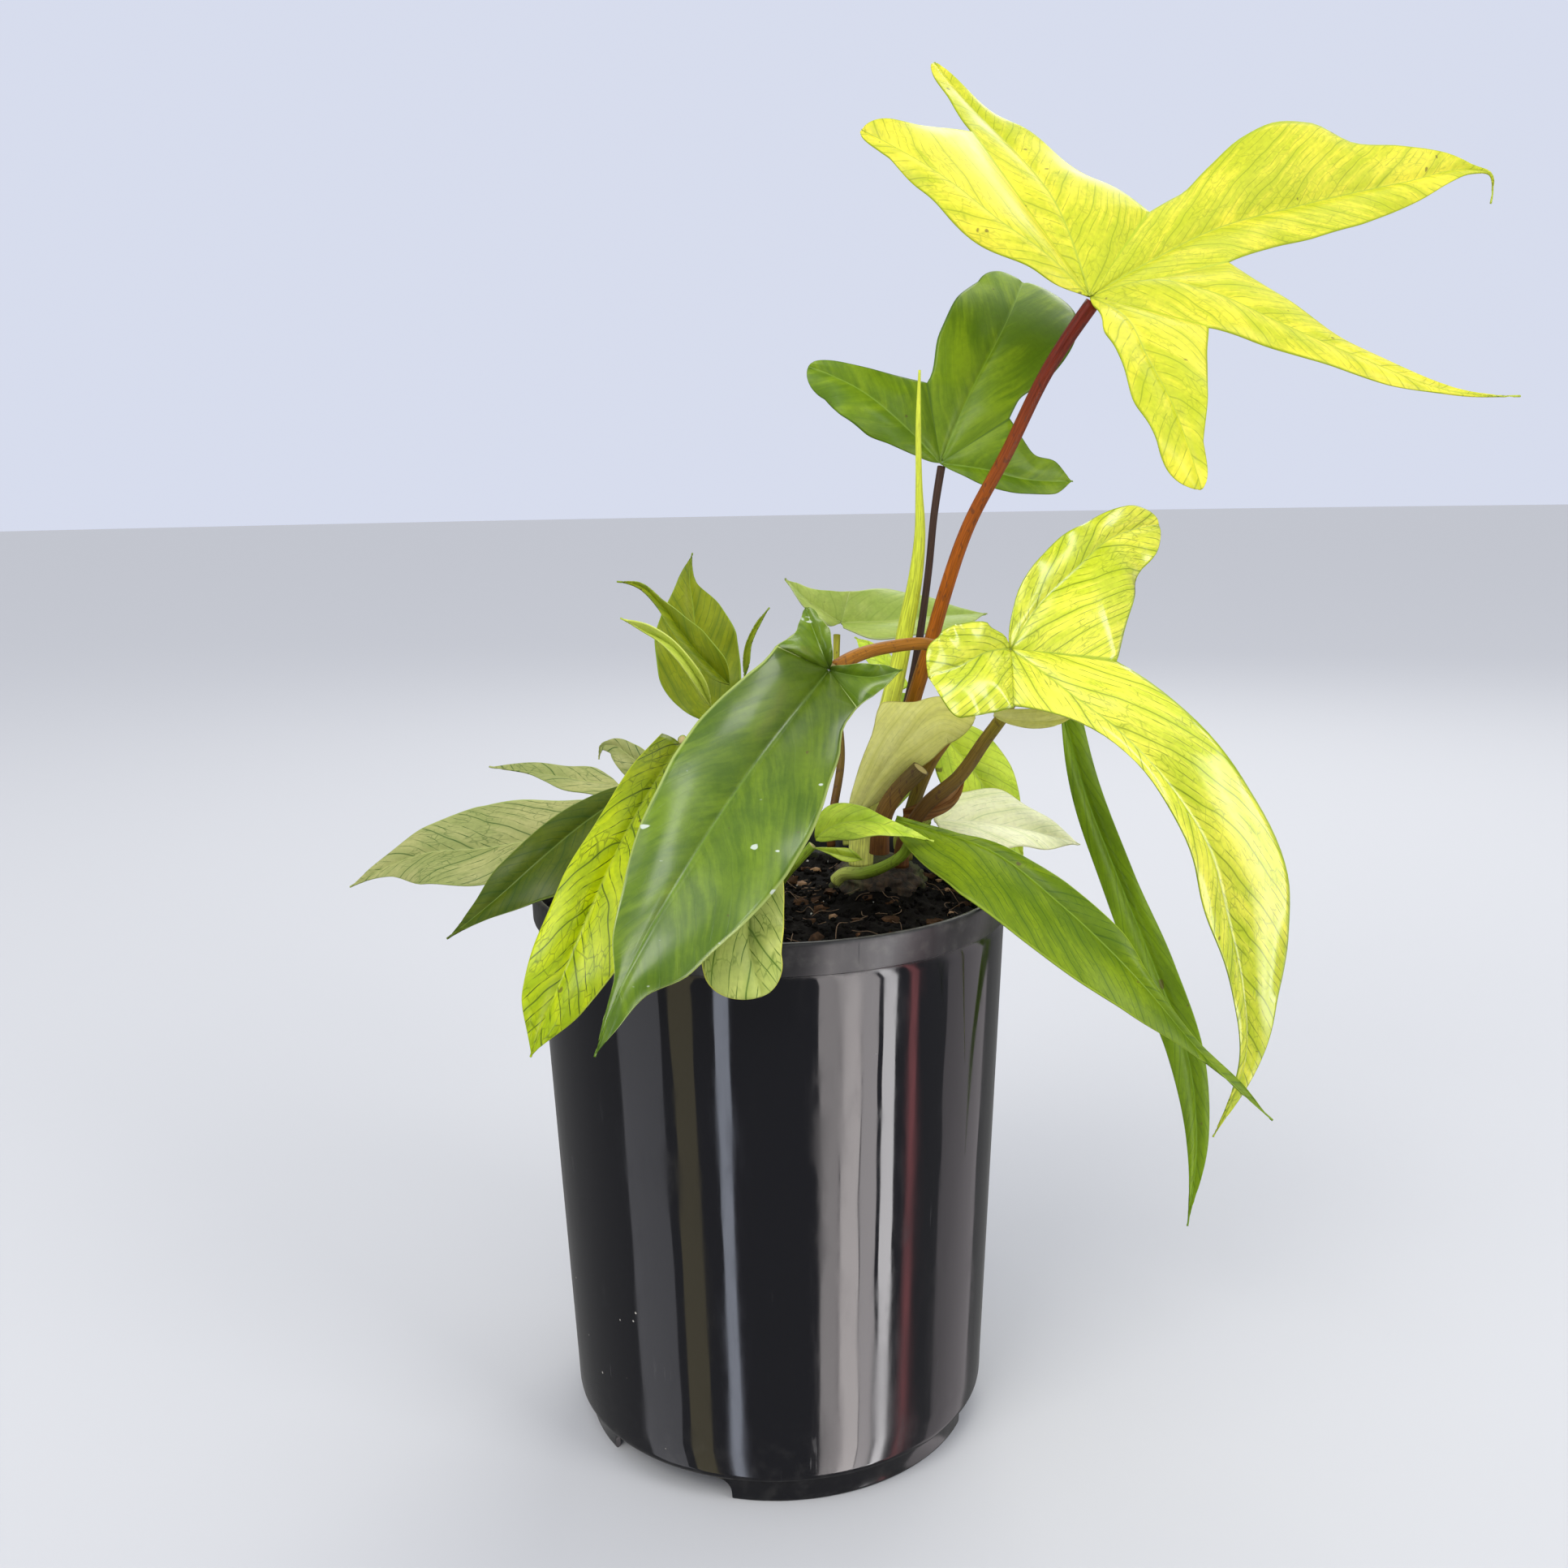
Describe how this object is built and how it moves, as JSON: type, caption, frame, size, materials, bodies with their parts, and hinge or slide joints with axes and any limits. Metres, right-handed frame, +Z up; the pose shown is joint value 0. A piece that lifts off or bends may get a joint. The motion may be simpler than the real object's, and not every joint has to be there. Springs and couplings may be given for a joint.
{
  "type": "potted philodendron",
  "caption": "Live philodendron with lobed yellow and green leaves on arching stalks, growing from soil in a tall round nursery pot.",
  "frame": {"origin": "centre of the pot's flat base pad, on the surface the pot stands on", "axes": "+Z up along the pot's axis, -Y towards the front, +X towards the long right-hand leaves"},
  "size_m": [0.3684, 0.1771, 0.4093],
  "materials": {
    "pot_plastic": "glossy black moulded plastic",
    "potting_soil": "dark crumbly potting mix with bark",
    "crown_tissue": "brown fibrous crown",
    "yellow_blade": "waxy yellow-green leaf with fine dark veins",
    "green_blade": "glossy dark green leaf",
    "pale_blade": "pale matt green leaf with darker veins",
    "sheath_tissue": "cream-green leaf sheath",
    "brown_stalk": "smooth red-brown leaf stalk",
    "green_stalk": "smooth yellow-green leaf stalk"
  },
  "bodies": {
    "root": {"pot": "pot_plastic", "soil": "potting_soil", "crown_main": "crown_tissue", "crown_side": "crown_tissue", "new_leaf_spike": "green_stalk", "top_stem": "brown_stalk", "green_stem": "brown_stalk", "right_yellow_stem": "brown_stalk", "front_stem": "brown_stalk", "strap_stem": "green_stalk", "back_small_stem": "green_stalk", "right_back_stem": "green_stalk", "right_white_stem": "green_stalk", "back_pale_stem": "green_stalk", "back_left_stem": "green_stalk", "diagonal_stem": "green_stalk", "furled_stem": "green_stalk", "thin_tip_stem": "green_stalk", "left_long_stem": "green_stalk", "left_edge_stem": "green_stalk", "left_hooked_stem": "green_stalk", "left_dark_stem": "green_stalk", "left_yellow_stem": "green_stalk", "rim_pale_stem": "green_stalk", "right_front_stem": "green_stalk", "small_pale_stem": "green_stalk", "cut_stub": "brown_stalk", "top_leaf": "yellow_blade", "green_lobed_leaf": "green_blade", "right_yellow_leaf": "yellow_blade", "folded_lobe": "pale_blade", "strap_leaf": "green_blade", "right_front_leaf": "green_blade", "small_pale_leaf": "pale_blade", "front_leaf": "green_blade", "back_pale_leaf": "pale_blade", "back_left_leaf": "green_blade", "diagonal_leaf": "green_blade", "furled_leaf": "pale_blade", "thin_tip_leaf": "green_blade", "left_long_leaf": "pale_blade", "left_edge_leaf": "pale_blade", "left_hooked_leaf": "pale_blade", "left_dark_leaf": "green_blade", "left_yellow_leaf": "green_blade", "rim_pale_leaf": "pale_blade", "right_back_leaf": "green_blade", "right_white_leaf": "pale_blade", "back_small_leaf": "green_blade", "spike_sheath": "sheath_tissue", "torn_sheath": "sheath_tissue", "low_sheath": "pale_blade"}
  },
  "joints": []
}
